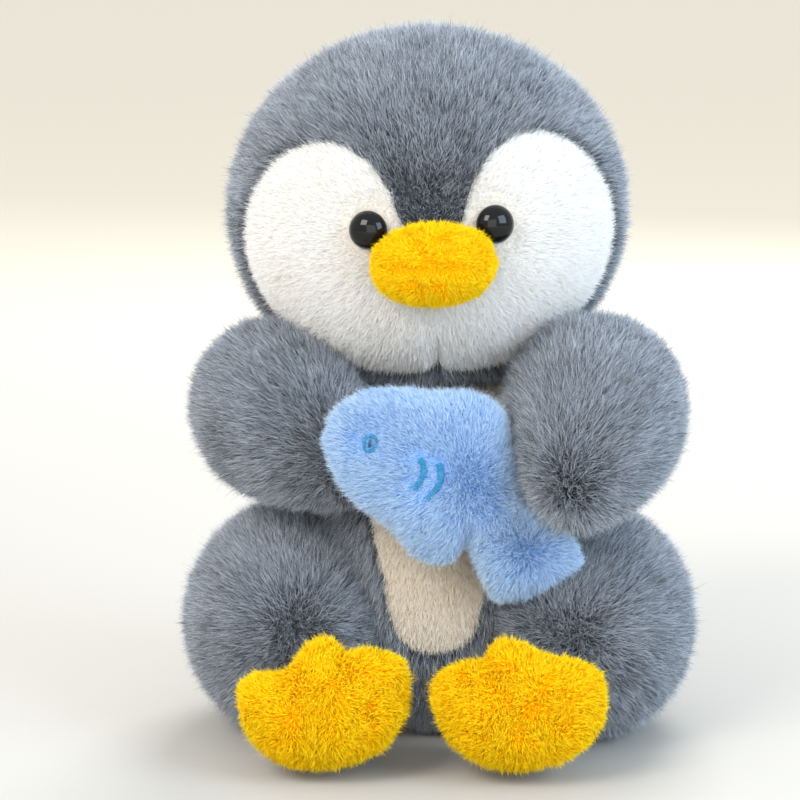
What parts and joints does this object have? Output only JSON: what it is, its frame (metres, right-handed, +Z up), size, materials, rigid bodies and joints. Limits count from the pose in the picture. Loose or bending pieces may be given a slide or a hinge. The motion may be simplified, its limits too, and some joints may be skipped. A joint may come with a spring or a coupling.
{
  "type": "plush penguin",
  "caption": "Sitting plush penguin with grey and white pile, a yellow beak and feet, holding a small light blue plush fish.",
  "frame": {"origin": "middle of the whole toy, on the surface that it sits on", "axes": "+Z up, the penguin faces -Y, +X towards the penguin's own left"},
  "size_m": [0.2088, 0.203, 0.297],
  "materials": {
    "grey_plush": "matte",
    "white_plush": "matte",
    "cream_plush": "matte",
    "yellow_plush": "matte",
    "blue_plush": "matte",
    "embroidery_thread": "satin",
    "eye_plastic": "polished",
    "washer_plastic": "matte",
    "seam_thread": "matte",
    "stuffing": "matte"
  },
  "bodies": {
    "torso": {"base_panel": "grey_plush", "belly_panel": "cream_plush", "body_cover_left": "grey_plush", "body_cover_right": "grey_plush", "body_stuffing": "stuffing", "fish_back": "blue_plush", "fish_eye_embroidery": "embroidery_thread", "fish_front": "blue_plush", "fish_gill_front": "embroidery_thread", "fish_gill_rear": "embroidery_thread", "fish_stuffing": "stuffing", "tail_lower": "grey_plush", "tail_stuffing": "stuffing", "tail_upper": "grey_plush"},
    "neck": {"neck_seam": "seam_thread"},
    "head": {"beak_lower": "yellow_plush", "beak_stuffing": "stuffing", "beak_upper": "yellow_plush", "eye_left": "eye_plastic", "eye_right": "eye_plastic", "eye_washer_left": "washer_plastic", "eye_washer_right": "washer_plastic", "face_panel_left": "white_plush", "face_panel_right": "white_plush", "head_cover_left": "grey_plush", "head_cover_right": "grey_plush", "head_stuffing": "stuffing"},
    "arm_left": {"arm_left_inner": "grey_plush", "arm_left_outer": "grey_plush", "arm_left_stuffing": "stuffing"},
    "arm_right": {"arm_right_inner": "grey_plush", "arm_right_outer": "grey_plush", "arm_right_stuffing": "stuffing"},
    "leg_left": {"leg_left_inner": "grey_plush", "leg_left_outer": "grey_plush", "leg_left_stuffing": "stuffing"},
    "leg_right": {"leg_right_inner": "grey_plush", "leg_right_outer": "grey_plush", "leg_right_stuffing": "stuffing"},
    "foot_left": {"foot_left_sole": "yellow_plush", "foot_left_stuffing": "stuffing", "foot_left_upper": "yellow_plush"},
    "foot_right": {"foot_right_sole": "yellow_plush", "foot_right_stuffing": "stuffing", "foot_right_upper": "yellow_plush"}
  },
  "joints": [
    {"name": "neck_turn", "type": "hinge", "parent": "torso", "child": "neck", "pos_m": [-0.0025, 0.022, 0.1485], "axis": [0, 0, 1], "range_deg": [-20, 20], "stiffness_Nm_per_rad": 4},
    {"name": "head_nod", "type": "hinge", "parent": "neck", "child": "head", "pos_m": [-0.0025, 0.022, 0.1485], "axis": [1, 0, 0], "range_deg": [-6, 4], "stiffness_Nm_per_rad": 4},
    {"name": "arm_left_swing", "type": "hinge", "parent": "torso", "child": "arm_left", "pos_m": [0.044, 0.031, 0.135], "axis": [0, 0, 1], "range_deg": [0, 25], "stiffness_Nm_per_rad": 0.5},
    {"name": "arm_right_swing", "type": "hinge", "parent": "torso", "child": "arm_right", "pos_m": [-0.044, 0.031, 0.135], "axis": [0, 0, -1], "range_deg": [0, 25], "stiffness_Nm_per_rad": 0.5},
    {"name": "leg_left_splay", "type": "hinge", "parent": "torso", "child": "leg_left", "pos_m": [0.046, 0.063, 0.0475], "axis": [0, 0, 1], "range_deg": [0, 15], "stiffness_Nm_per_rad": 0.8},
    {"name": "leg_right_splay", "type": "hinge", "parent": "torso", "child": "leg_right", "pos_m": [-0.046, 0.063, 0.0475], "axis": [0, 0, -1], "range_deg": [0, 15], "stiffness_Nm_per_rad": 0.8},
    {"name": "foot_left_tilt", "type": "hinge", "parent": "leg_left", "child": "foot_left", "pos_m": [0.037, -0.064, 0.03], "axis": [1, 0, 0], "range_deg": [0, 12], "stiffness_Nm_per_rad": 0.2},
    {"name": "foot_right_tilt", "type": "hinge", "parent": "leg_right", "child": "foot_right", "pos_m": [-0.043, -0.064, 0.03], "axis": [1, 0, 0], "range_deg": [0, 12], "stiffness_Nm_per_rad": 0.2}
  ]
}
